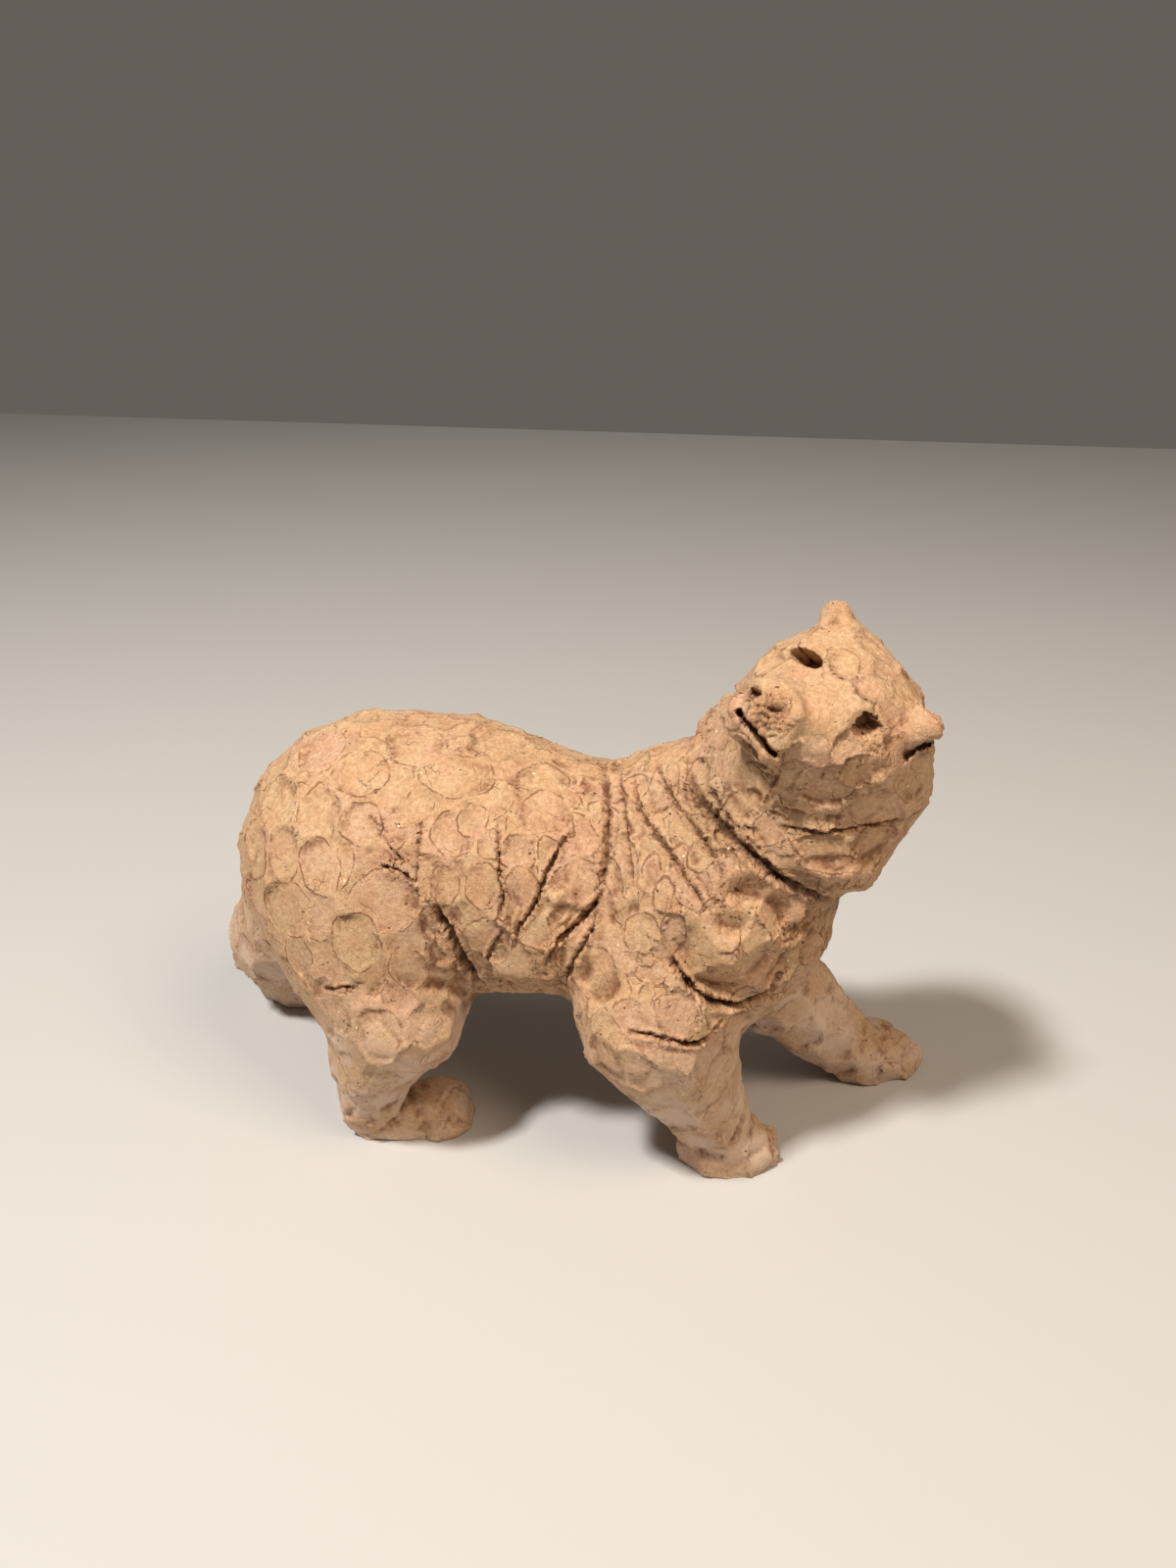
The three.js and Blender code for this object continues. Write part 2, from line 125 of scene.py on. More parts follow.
def editFaces(piece, chosen, operator, **settings):
    # runs an edit-mode operator on the chosen faces alone
    activate(piece)
    bpy.ops.object.mode_set(mode="EDIT")
    bpy.ops.mesh.select_mode(type="FACE")
    bpy.ops.mesh.select_all(action="DESELECT")
    bpy.ops.object.mode_set(mode="OBJECT")
    piece.data.polygons.foreach_set("select", chosen)
    bpy.ops.object.mode_set(mode="EDIT")
    operator(**settings)
    bpy.ops.object.mode_set(mode="OBJECT")


def readPoints(piece):
    points = np.zeros(len(piece.data.vertices) * 3)
    piece.data.vertices.foreach_get("co", points)
    return points.reshape(-1, 3) / millimetre


def writePoints(piece, points):
    piece.data.vertices.foreach_set("co", (points * millimetre).ravel())
    piece.data.update()


def readNormals(piece):
    normals = np.zeros(len(piece.data.vertices) * 3)
    piece.data.vertex_normals.foreach_get("vector", normals)
    return normals.reshape(-1, 3)


def faceMiddles(piece):
    middles = np.zeros(len(piece.data.polygons) * 3)
    piece.data.polygons.foreach_get("center", middles)
    return middles.reshape(-1, 3) / millimetre


# Creases and knife slits: the way each runs in the picture, then its width and depth in millimetres
seenCreases = [
    ([(615, 775), (620, 830), (618, 880), (608, 915)], 4.0, 1.8),
    ([(617, 906), (602, 928), (582, 949), (571, 959), (556, 986)], 3.2, 3.2),
    ([(585, 848), (576, 858), (559, 890), (546, 923), (529, 948), (526, 968)], 2.8, 2.2),
    ([(508, 840), (510, 890), (513, 918), (507, 943)], 2.2, 1.6),
    ([(513, 949), (496, 979)], 2.6, 1.6),
    ([(430, 840), (427, 873), (425, 903)], 1.8, 1.1),
    ([(388, 884), (405, 888), (423, 901)], 2.6, 2.6),
    ([(397, 862), (410, 878)], 2.0, 1.4),
    ([(375, 832), (396, 850)], 2.0, 1.2),
    ([(443, 923), (463, 956), (480, 989), (496, 1006)], 5.0, 3.0),
    ([(609, 940), (590, 973), (577, 1000)], 3.0, 1.8),
    ([(330, 1010), (360, 1007)], 2.6, 1.6),
    ([(645, 790), (655, 830), (690, 880), (730, 940)], 3.0, 1.6),
    ([(632, 785), (640, 850), (646, 905)], 2.4, 1.2),
    ([(668, 775), (690, 820), (722, 862), (742, 900)], 2.8, 1.6),
    ([(700, 782), (709, 808), (728, 833), (754, 861), (798, 897), (850, 920)], 5.4, 3.6),
    ([(790, 842), (830, 849), (855, 848), (885, 843), (919, 837)], 2.6, 1.5),
    ([(722, 800), (748, 842), (780, 872)], 3.0, 1.8),
    ([(684, 976), (704, 1006), (730, 1024), (754, 1025), (782, 1012), (799, 990)], 4.6, 3.8),
    ([(640, 1053), (672, 1059), (706, 1066), (722, 1058), (738, 1040)], 3.2, 2.4),
]

# Places where the clay is torn and crumbly: x, y and reach in the picture, then how rough
tornPlaces = [
    (785, 726, 23, 2.0),
    (857, 614, 16, 0.6),
    (960, 738, 20, 0.9),
    (903, 762, 22, 1.0),
    (790, 775, 22, 0.4),
    (818, 950, 30, 1.5),
    (742, 912, 22, 0.8),
    (515, 1002, 30, 0.8),
    (560, 1000, 24, 0.7),
    (405, 872, 24, 0.8),
    (430, 920, 20, 0.7),
    (790, 1003, 18, 0.8),
    (458, 770, 14, 0.5),
    (700, 915, 18, 0.5),
    (905, 1060, 26, 0.5),
]

crease = {"step": 1.5, "lip": 0.2, "waver": 0.42, "waverSize": 2.4, "reach": 2.0, "slim": 0.78, "otherSideMiddle": -1.9}


def smoothRoute(route):
    # picture points along a curve through the route's own
    ends = [route[0]] + route + [route[-1]]
    found = []
    for p0, p1, p2, p3 in np.array([ends[i:i + 4] for i in range(len(route) - 1)], float):
        count = max(2, int(np.linalg.norm(p2 - p1) / crease["step"]))
        for t in np.linspace(0, 1, count, endpoint=False):
            bend = (2 * p0 - 5 * p1 + 4 * p2 - p3) * t ** 2 + (3 * (p1 - p2) + p3 - p0) * t ** 3
            found.append((2 * p1 + (p2 - p0) * t + bend) / 2)
    return found + [np.array(route[-1], float)]


def routesOn(tree):
    # every crease as points on the skin, and those of the trunk and legs once more on the other flank
    routes = []
    for route, width, depth in seenCreases:
        hits = [tree.ray_cast(Vector(picture["place"]), Vector(sightLine(*p))) for p in smoothRoute(route)]
        points = np.array([hit[0] for hit in hits if hit[0] is not None]) / millimetre
        routes.append((points, width, depth))
        if max(p[0] for p in route) > 660:
            continue
        across = points * (1, -1, 1) + (0, 2 * crease["otherSideMiddle"], 0)
        hits = [tree.find_nearest(Vector(p) * millimetre)[0] for p in across]
        routes.append((np.array(hits) / millimetre, width, 0.8 * depth))
    return routes


def treeOf(piece):
    return BVHTree.FromObject(piece, bpy.context.evaluated_depsgraph_get())


# Places that need still finer faces: x and y in the picture, and reach in millimetres
finePlaces = [(821, 671, 6.5), (885, 743, 6.5), (779, 722, 11.0), (780, 755, 7.0), (945, 764, 5.0)]

# Balls that fill the solid's eyes, nostrils and mouth, which are poked again in the fine skin: middle and radius
plugs = [
    ((77.9, -14.6, 165.9), 6.0),
    ((90.8, -27.5, 155.5), 6.0),
    ((68.7, -35.5, 164.4), 3.6),
    ((60.4, -31.0, 161.3), 4.0),
    ((63.4, -34.1, 158.7), 4.0),
    ((66.9, -37.8, 155.6), 4.0),
    ((69.9, -40.9, 153.0), 4.0),
]

# Where the skin is brought back to the solid's own form after softening: muzzle and ears, middle and reach
crispPlaces = [((69.5, -34.5, 160.4), 17.0), ((84.0, 3.1, 176.0), 11.0), ((109.6, -21.5, 155.7), 11.0)]


def addPlugs(piece):
    balls = []
    for middle, radius in plugs:
        place = Vector(middle) * millimetre
        bpy.ops.mesh.primitive_uv_sphere_add(segments=24, ring_count=16, radius=radius * millimetre, location=place)
        balls.append(bpy.context.object)
    activate(piece)
    for made in balls:
        made.select_set(True)
    bpy.ops.object.join()


def sharpenFace(piece):
    solid = treeOf(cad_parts["bear"])
    points = readPoints(piece)
    for middle, reach in crispPlaces:
        away = np.linalg.norm(points - middle, axis=1) / reach
        for i in np.flatnonzero(away < 1):
            target = np.array(solid.find_nearest(Vector(points[i]) * millimetre)[0]) / millimetre
            step = target - points[i]
            if np.linalg.norm(step) < 1.2:
                points[i] += step * min(1, 3 * (1 - away[i]))
    writePoints(piece, points)
    applyModifier(piece, "SMOOTH", factor=0.5, iterations=skin["faceRounds"])


def thinFarSide(piece):
    # the side turned away from the camera, which is plainer, keeps fewer faces
    turnedAway = ((readPoints(piece) - cameraPlace) * readNormals(piece)).sum(1) > 0
    group = piece.vertex_groups.new(name="farSide")
    group.add(np.flatnonzero(turnedAway).tolist(), 1.0, "REPLACE")
    applyModifier(piece, "DECIMATE", ratio=skin["keptShare"], vertex_group="farSide")
    piece.vertex_groups.clear()


def startSkin():
    piece = bpy.data.objects.new("carvedBear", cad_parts["bear"].data.copy())
    bpy.context.collection.objects.link(piece)
    everyFace = np.ones(len(piece.data.polygons), bool)
    editFaces(piece, everyFace, bpy.ops.mesh.remove_doubles, threshold=1e-6)
    addPlugs(piece)
    voxel = skin["voxel"] * millimetre
    applyModifier(piece, "REMESH", mode="VOXEL", voxel_size=voxel, use_smooth_shade=True)
    applyModifier(piece, "SMOOTH", factor=0.5, iterations=skin["softenRounds"])
    thinFarSide(piece)
    middles = faceMiddles(piece)
    fine = np.linalg.norm(middles - np.array(skin["faceMiddle"]), axis=1) < skin["faceReach"]
    fine |= np.linalg.norm(middles - np.array(skin["shoulderMiddle"]), axis=1) < skin["shoulderReach"]
    for points, width, _ in routesOn(treeOf(piece)):
        for point in points[::2]:
            fine |= ((middles - point) ** 2).sum(1) < (0.6 * width) ** 2
    editFaces(piece, fine, bpy.ops.mesh.subdivide, number_cuts=1)
    sharpenFace(piece)
    tree = treeOf(piece)
    middles = faceMiddles(piece)
    fine = np.zeros(len(middles), bool)
    for x, y, reach in finePlaces:
        hit = tree.ray_cast(Vector(picture["place"]), Vector(sightLine(x, y)))[0]
        fine |= ((middles - np.array(hit) / millimetre) ** 2).sum(1) < reach ** 2
    editFaces(piece, fine, bpy.ops.mesh.subdivide, number_cuts=1)
    return piece


bear = startSkin()
print("skin ready:", len(bear.data.vertices), "points")

chance = np.random.default_rng(skin["seed"])


class Worked:
    # the skin's points while they are cut and creased, with the marks that each one bears
    def __init__(self, piece):
        self.piece = piece
        self.points = readPoints(piece)
        self.normals = readNormals(piece)
        count = len(self.points)
        self.owner = np.full(count, -1)
        self.burr = np.zeros(count)
        # how much painted shade each point gets in a crease, slit or hole
        self.grooveShade = np.zeros(count)
        self.ragged = np.zeros(count)
        self.cuts = []

    def refresh(self):
        # after a stage of moves: new normals, a new tree to look things up by, and a new grid of cells
        writePoints(self.piece, self.points)
        self.normals = readNormals(self.piece)
        self.tree = treeOf(self.piece)
        cells = np.floor(self.points / skin["cell"]).astype(int)
        order = np.lexsort(cells.T)
        starts = np.flatnonzero((np.diff(cells[order], axis=0) != 0).any(1)) + 1
        groups = np.split(order, starts)
        self.cells = {tuple(cells[group[0]]): group for group in groups}

    def around(self, middle, reach):
        # the points within reach of a place, as last put in cells, give or take a little
        first = np.floor((middle - reach) / skin["cell"]).astype(int)
        last = np.floor((middle + reach) / skin["cell"]).astype(int)
        spans = [range(a, b + 1) for a, b in zip(first, last)]
        found = [self.cells[c] for c in itertools.product(*spans) if c in self.cells]
        near = np.concatenate(found) if found else np.zeros(0, int)
        return near[((self.points[near] - middle) ** 2).sum(1) < reach ** 2]

    def neighbourMeans(self, points):
        # for every point, the middle of those that an edge joins it to
        count = len(points)
        edges = np.zeros(len(self.piece.data.edges) * 2, int)
        self.piece.data.edges.foreach_get("vertices", edges)
        first, second = edges.reshape(-1, 2).T
        ways = np.bincount(edges, minlength=count)
        totals = [np.bincount(first, points[second, axis], count) for axis in range(3)]
        for axis in range(3):
            totals[axis] += np.bincount(second, points[first, axis], count)
        return np.stack(totals, 1) / ways[:, None]

    def takeOffSpikes(self):
        # where faces are large, a point may stand off its neighbours by more
        for _ in range(3):
            gap = self.neighbourMeans(self.points) - self.points
            spread = np.sqrt(np.abs(self.neighbourMeans(self.points ** 2) - self.neighbourMeans(self.points) ** 2).sum(1))
            sharp = np.linalg.norm(gap, axis=1) > np.maximum(skin["spike"], 0.45 * spread)
            self.points[sharp] += 0.8 * gap[sharp]

    def seen(self, x, y):
        # the point of the skin that the picture shows at x, y, or a little inwards where that misses the outline
        for inwards in np.linspace(0, 0.15, 40):
            spot = np.array((x, y)) + inwards * (np.array(picture["middle"]) - (x, y))
            hit = self.tree.ray_cast(Vector(picture["place"]), Vector(sightLine(*spot)))
            if hit[0] is not None:
                return np.array(hit[0]) / millimetre

    def nearest(self, point):
        hit = self.tree.find_nearest(Vector(point) * millimetre)
        return np.array(hit[0]) / millimetre, np.array(hit[1])


# One cut of the loop or knife: a shallow oval scoop whose rim keeps a thin burr
scoop = {
    "waver": 0.06,
    "deepest": 1.7,
    "fill": 0.25,
    "rimCatch": 0.42,
    "rimStep": 0.8,
    "tilt": 0.04,
    "burr": 0.4,
    "spacing": 0.66,
}


def rimReach(cut, points):
    # 0 in the middle of a cut and 1 on its wavering rim
    away = points - cut["middle"]
    x = away @ cut["across"]
    y = away @ cut["along"]
    angle = np.arctan2(y, x)
    waver = np.sin(2 * angle + cut["phase"]) + 0.7 * np.sin(5 * angle + 2 * cut["phase"])
    return np.hypot(x, y) / (1 + scoop["waver"] * waver)


def makeCut(work, middle, across, along, sink, normal=None):
    # across and along are the oval's half sizes as vectors
    cut = {
        "middle": middle,
        "across": across / (across @ across),
        "along": along / (along @ along),
        "phase": chance.uniform(0, 2 * math.pi),
    }
    halves = [np.linalg.norm(across), np.linalg.norm(along)]
    near = work.around(middle, 1.4 * max(halves))
    if normal is None:
        normal = work.normals[near[((work.points[near] - middle) ** 2).sum(1).argmin()]]
    near = near[work.normals[near] @ normal > 0.25]
    away = work.points[near] - middle
    reach = rimReach(cut, work.points[near])
    inner = near[reach < 1]
    if len(inner) < 6:
        return
    normal = work.normals[inner].mean(0) + chance.normal(0, scoop["tilt"], 3)
    normal /= np.linalg.norm(normal)
    height = away @ normal
    band = (reach > 0.85) & (reach < 1.15)
    level = height[band].mean() - sink
    move = np.clip(level - height, -scoop["deepest"], scoop["fill"])
    onRim = np.abs(reach - 1) * min(halves) < scoop["rimCatch"] * skin["voxel"]
    onRim &= np.abs(height - level - sink) < scoop["rimStep"]
    inside = (reach < 1) & ~onRim
    work.points[near[inside]] += move[inside, None] * normal
    rim = near[onRim]
    flat = away[onRim] - np.outer(away[onRim] @ normal, normal)
    work.points[rim] += flat * (1 / reach[onRim] - 1)[:, None]
    work.burr[near[inside]] = 0
    work.burr[rim] = 1
    work.owner[near[inside | onRim]] = len(work.cuts)
    work.cuts.append(cut)


# Cuts that the picture shows: x, y, width, height and turn in the picture, then the depth in millimetres
seenCuts = [
    (293, 927, 58, 56, 0, 0.12),
    (259, 868, 30, 60, 0, 0.12),
    (284, 820, 44, 54, 0, 0.12),
    (328, 764, 48, 50, 20, 0.12),
    (443, 736, 62, 24, 0, 0.12),
    (424, 761, 64, 42, 0, 0.12),
    (368, 789, 56, 48, 0, 0.16),
    (290, 871, 38, 54, 0, 0.12),
    (323, 831, 44, 60, 0, 0.16),
    (368, 840, 42, 46, 0, 0.12),
    (326, 885, 44, 58, 10, 0.16),
    (509, 761, 58, 36, 10, 0.12),
    (467, 792, 72, 46, 0, 0.12),
    (551, 801, 60, 42, 10, 0.12),
    (500, 862, 26, 32, 0, 0.16),
    (462, 851, 42, 48, 0, 0.16),
    (482, 837, 32, 34, 0, 0.16),
    (553, 829, 52, 42, 0, 0.16),
    (528, 871, 34, 42, 0, 0.2),
    (534, 907, 34, 46, 10, 0.2),
    (492, 904, 38, 46, 0, 0.2),
    (454, 902, 28, 46, 0, 0.16),
    (562, 871, 24, 38, 20, 0.16),
    (593, 899, 36, 52, 25, 0.2),
    (576, 938, 34, 32, 0, 0.2),
    (664, 891, 18, 42, -10, 0.2),
    (677, 913, 20, 38, -15, 0.16),
    (677, 804, 30, 52, -25, 0.2),
    (712, 794, 22, 44, -25, 0.2),
    (716, 872, 26, 38, -20, 0.24),
    (655, 952, 34, 44, 0, 0.16),
    (687, 951, 28, 40, 0, 0.16),
    (607, 993, 44, 62, 10, 0.16),
    (728, 743, 26, 42, 15, 0.24),
    (763, 790, 46, 92, -8, 0.3),
    (753, 836, 38, 66, -30, 0.5),
    (786, 845, 34, 36, 0, 0.6),
    (862, 678, 30, 32, 0, 0.1),
    (890, 702, 42, 28, 0, 0.1),
    (923, 702, 30, 36, -35, 0.15),
    (888, 662, 36, 18, -35, 0.1),
    (816, 792, 48, 32, 0, 0.4),
    (845, 803, 64, 44, -10, 0.4),
    (893, 824, 70, 44, -10, 0.4),
    (934, 792, 48, 56, 20, 0.4),
    (883, 786, 54, 32, 10, 0.35),
    (842, 864, 64, 26, 0, 0.4),
    (892, 858, 54, 30, 8, 0.4),
    (850, 882, 70, 20, -5, 0.4),
    (906, 730, 26, 26, 0, 0.24),
]

# Flats that a knife split off, bounded by straight edges: x, y and reach in the picture, how deep in millimetres,
# and how far the flat leans to the right and to the top of the picture
seenSplits = [
    (722, 974, 30, 1.8, (-0.35, -0.10)),
    (738, 1000, 26, 1.8, (-0.05, -0.60)),
    (768, 984, 22, 1.6, (0.35, -0.25)),
    (790, 988, 20, 1.6, (0.60, -0.45)),
    (788, 938, 20, 1.5, (0.50, 0.25)),
    (760, 920, 20, 1.5, (0.10, 0.55)),
    (748, 940, 14, 1.3, (-0.10, -0.50)),
    (842, 806, 20, 0.8, (-0.25, -0.25)),
    (888, 826, 20, 0.8, (0.25, -0.35)),
    (930, 800, 18, 0.8, (-0.20, 0.20)),
    (766, 800, 18, 0.8, (-0.30, 0.0)),
    (846, 868, 20, 0.9, (-0.1, -0.45)),
    (892, 864, 18, 0.9, (0.2, -0.45)),
]

# Where the picture shows the clay left uncut: x, y and reach
uncut = [(783, 728, 46), (830, 700, 78), (850, 650, 40), (884, 745, 30), (955, 745, 26), (857, 618, 30)]

# How the rest was cut, by where it lies: width, length, the way they run, depth. Nearest middle counts.
zones = [
    {"middle": (-52, -2, 96), "size": (15.5, 17.5), "way": (0.2, 0, 1), "sink": 0.16},
    {"middle": (-8, -2, 92), "size": (11, 15), "way": (0.1, 0, 1), "sink": 0.18},
    {"middle": (36, -2, 112), "size": (9, 17), "way": (0.6, 0, -1), "sink": 0.12},
    {"middle": (60, -6, 84), "size": (11, 14), "way": (0.3, 0, -1), "sink": 0.25},
    {"middle": (80, -6, 118), "size": (9, 15), "way": (0.3, -1, -0.2), "sink": 0.2},
    {"middle": (88, -6, 148), "size": (13, 16), "way": (0.6, 0, 0.8), "sink": 0.12},
    {"middle": (45, -22, 35), "size": (13, 18), "way": (0.4, 0, -1), "sink": 0.03},
    {"middle": (88, 30, 35), "size": (12, 16), "way": (0.6, 0.3, -1), "sink": 0.06},
    {"middle": (-50, -26, 40), "size": (13, 17), "way": (0, 0, -1), "sink": 0.03},
    {"middle": (-95, 30, 45), "size": (12, 15), "way": (0, 0, -1), "sink": 0.06},
]


def makeSeenCuts(work):
    for x, y, width, height, turn, sink in seenCuts:
        middle = work.seen(x, y)
        away = np.linalg.norm(middle - cameraPlace) / picture["focal"]
        sin, cos = math.sin(math.radians(turn)), math.cos(math.radians(turn))
        across = (cos * toRight + sin * toTop) * width / 2 * away
        along = (cos * toTop - sin * toRight) * height / 2 * away
        makeCut(work, middle, across, along, sink, -sightLine(x, y))


def makeSplits(work):
    for x, y, reach, sink, (right, top) in seenSplits:
        middle = work.seen(x, y)
        radius = reach * np.linalg.norm(middle - cameraPlace) / picture["focal"]
        near = work.around(middle, 1.5 * radius)
        gap = np.linalg.norm(work.points[near] - middle, axis=1) / radius
        normal = work.normals[near[gap < 0.7]].mean(0) + right * toRight + top * toTop
        normal /= np.linalg.norm(normal)
        over = (work.points[near] - middle) @ normal + sink
        share = np.clip(2 * (1.5 - gap), 0, 1) * (over > 0)
        work.points[near] -= (over * share)[:, None] * normal
        work.burr[near[share > 0.5]] = 0
        work.owner[near[share > 0.5]] = -1


def makeOtherCuts(work):
    taken = np.zeros(len(work.points), bool)
    for x, y, reach in uncut:
        middle = work.seen(x, y)
        taken[work.around(middle, reach * np.linalg.norm(middle - cameraPlace) / picture["focal"])] = True
    middles = np.array([zone["middle"] for zone in zones])
    for spot in chance.permutation(len(work.points)):
        if taken[spot] or work.points[spot, 2] < 3:
            continue
        point = work.points[spot].copy()
        zone = zones[((middles - point) ** 2).sum(1).argmin()]
        width, length = np.array(zone["size"]) * chance.uniform(0.8, 1.2)
        normal = work.normals[spot]
        along = np.array(zone["way"]) + chance.normal(0, 0.25, 3)
        along -= (along @ normal) * normal
        along /= np.linalg.norm(along)
        across = np.cross(normal, along)
        near = work.around(point, length)
        away = work.points[near] - point
        close = np.hypot(away @ across / width, away @ along / length) < scoop["spacing"]
        taken[near[close]] = True
        makeCut(work, point, across * width / 2, along * length / 2, zone["sink"])


def makeCuts(work):
    makeOtherCuts(work)
    work.refresh()
    makeSplits(work)
    work.refresh()
    makeSeenCuts(work)
    work.takeOffSpikes()
    broken = np.array([noise.noise(Vector(p) / 3.1) for p in work.points])
    work.points += (scoop["burr"] * work.burr * np.clip(0.6 + broken, 0, 1))[:, None] * work.normals
    work.refresh()


work = Worked(bear)
work.refresh()
makeCuts(work)
print("cut all over:", len(work.cuts), "cuts")


def noiseAt(points, size, seed=0.0):
    shift = Vector((seed, 2 * seed, 3 * seed))
    return np.array([noise.noise(Vector(p) / size + shift) for p in points])


def pressCrease(work, points, width, depth):
    # a furrow with a sharp bottom, two lips of pushed-up clay, and ends that run out
    half = crease["slim"] * width / 2
    middle = points.mean(0)
    reach = np.linalg.norm(points - middle, axis=1).max() + crease["reach"] * width
    near = work.around(middle, reach)
    gaps = np.linalg.norm(work.points[near][:, None] - points[None], axis=2)
    closest = gaps.argmin(1)
    gap = gaps[np.arange(len(near)), closest]
    kept = gap < crease["reach"] * width
    near, gap, closest = near[kept], gap[kept], closest[kept]
    gap = np.abs(gap + crease["waver"] * noiseAt(work.points[near], crease["waverSize"]))
    inward = np.array([-work.normals[near[closest == i]].sum(0) for i in range(len(points))])
    smooth = np.array([inward[max(0, i - 7):i + 8].sum(0) for i in range(len(points))])
    smooth /= np.linalg.norm(smooth, axis=1)[:, None] + 1e-9
    along = closest / (len(points) - 1)
    taper = np.clip(5 * np.minimum(along, 1 - along), 0, 1) ** 0.6
    dip = np.clip(1 - gap / (half * (0.5 + 0.5 * taper)), 0, 1)
    lip = crease["lip"] * np.exp(-((gap - 1.1 * half) / (0.4 * half)) ** 2)
    work.points[near] += (depth * taper * (dip ** 0.9 - lip))[:, None] * smooth[closest]
    # the furrow's bottom is marked for painted shade
    work.grooveShade[near] = np.maximum(work.grooveShade[near], dip ** 0.5 * taper * min(1, depth / 2))
    work.ragged[near] = np.maximum(work.ragged[near], 0.7 * taper * np.clip(2 - gap / half, 0, 1))


# Holes of the face: x, y, width, height and turn in the picture, depth in millimetres, then the way it leans
# in the picture as it goes in, and how ragged its rim is
holes = [
    (821, 671, 30, 17, -38, 7.0, (0.6, -0.5), 0.08),  # right eye
    (885, 743, 29, 24, -10, 5.0, (-0.5, 0.5), 0.3),  # left eye
    (768, 707, 13, 10, -20, 3.4, (0.2, -0.2), 0.2),  # nostrils
    (788, 724, 8, 6, 0, 1.6, (0, 0), 0.3),
    (956, 771, 16, 26, 10, 6.0, (-0.2, 0.4), 0.15),  # under the left ear
]

# Slits pressed with a knife's edge, as the creases are, and what swells beside them: route, width, height
seenSlits = [
    ([(755, 727), (761, 735), (769, 745), (779, 757), (790, 770)], 1.8, 5.5),
    ([(925, 772), (938, 763), (950, 758), (963, 757)], 2.4, 4.0),
]
seenSwells = [
    ([(748, 726), (757, 739), (768, 753), (781, 768)], 3.4, 0.9),
    ([(748, 699), (768, 696), (790, 697), (808, 706), (816, 722), (812, 740), (800, 762)], 2.4, 0.5),
    ([(812, 664), (824, 660), (838, 672)], 2.6, 0.35),
]


def rimPlane(sides, sunk, rim):
    # how deep the plane through a hole's rim lies, at each of the points
    slope = np.linalg.lstsq(sides[rim], sunk[rim], rcond=None)[0]
    return sides @ slope


def pokeHoles(work):
    # the clay inside each oval is first levelled with its surroundings, then pushed down to a floor
    for x, y, width, height, turn, depth, lean, ragged in holes:
        middle = work.seen(x, y)
        inwards = sightLine(x, y)
        away = np.linalg.norm(middle - cameraPlace) / picture["focal"]
        near = work.around(middle, 1.3 * max(width, height) * away)
        gap = work.points[near] - middle
        sin, cos = math.sin(math.radians(turn)), math.cos(math.radians(turn))
        across = gap @ (cos * toRight + sin * toTop) / (width / 2 * away)
        along = gap @ (cos * toTop - sin * toRight) / (height / 2 * away)
        sunk = gap @ inwards
        sides = np.stack([across, along, np.ones(len(near))], 1)
        reach = np.hypot(across, along)
        level = rimPlane(sides, sunk, (reach > 1.7) & (reach < 2.3) & (sunk < 3))
        plug = (level - sunk) * np.clip(2 * (1.7 - reach), 0, 1) * (depth > 3)
        reach += ragged * noiseAt(work.points[near], 1.8, 4.4)
        share = np.clip((1.1 - reach) / 0.3, 0, 1) ** 0.7
        sideways = lean[0] * toRight + lean[1] * toTop
        work.points[near] += (plug + depth * share)[:, None] * inwards + np.outer(depth * share, sideways)
        # the hole's inside is marked for painted shade
        work.grooveShade[near] = np.maximum(work.grooveShade[near], 0.7 * share ** 2)


def alongRoute(work, route, reach):
    # the points near a route of the picture, and how far each is from it
    line = np.array([work.seen(*p) for p in smoothRoute(route)])
    middle = line.mean(0)
    near = work.around(middle, np.linalg.norm(line - middle, axis=1).max() + reach)
    gap = np.linalg.norm(work.points[near][:, None] - line[None], axis=2).min(1)
    return near[gap < reach], gap[gap < reach]


def shapeFace(work):
    for route, width, height in seenSwells:
        near, gap = alongRoute(work, route, 1.5 * width)
        work.points[near] += (height * np.exp(-((gap / width) * 1.6) ** 2))[:, None] * work.normals[near]
    pokeHoles(work)
    for route, width, depth in seenSlits:
        near, gap = alongRoute(work, route, width)
        gap = np.abs(gap + 0.25 * noiseAt(work.points[near], 1.7, 2.2))
        share = np.clip((0.62 * width - gap) / (0.24 * width), 0, 1)
        work.points[near] += (depth * share)[:, None] * sightLine(*route[len(route) // 2])
        # the slit is marked for painted shade
        work.grooveShade[near] = np.maximum(work.grooveShade[near], share)


def roughen(work):
    torn = np.zeros(len(work.points))
    for x, y, reach, strength in tornPlaces:
        middle = work.seen(x, y)
        radius = reach * np.linalg.norm(middle - cameraPlace) / picture["focal"]
        for place in (middle, middle * (1, -1, 1)):
            gap = np.linalg.norm(work.points - place, axis=1) / radius
            torn = np.maximum(torn, strength * np.clip(1.4 - gap, 0, 1))
            if x > 660:
                break
    hand = 0.16 * noiseAt(work.points, 9, 1.7) + 0.1 * noiseAt(work.points, 2.6, 5.1)
    crumbs = np.abs(noiseAt(work.points, 1.7, 9.3)) + 0.6 * noiseAt(work.points, 3.4, 3.3)
    torn = np.maximum(torn, work.ragged)
    work.points += (hand + 1.5 * torn * (crumbs - 0.15))[:, None] * work.normals
    loose = chance.uniform(0, 1, len(work.points)) < 0.2 * torn
    gritty = np.clip(torn - 0.6, 0, 1.2) * noiseAt(work.points, 1.05, 6.1)
    work.points += 0.9 * gritty[:, None] * work.normals
    work.points[loose] += chance.uniform(-0.5, 0.25, (loose.sum(), 1)) * work.normals[loose]
    work.torn = np.clip(torn * (0.7 + noiseAt(work.points, 5, 7.7)), 0, 1)
    work.owner[torn > 1.2] = -1


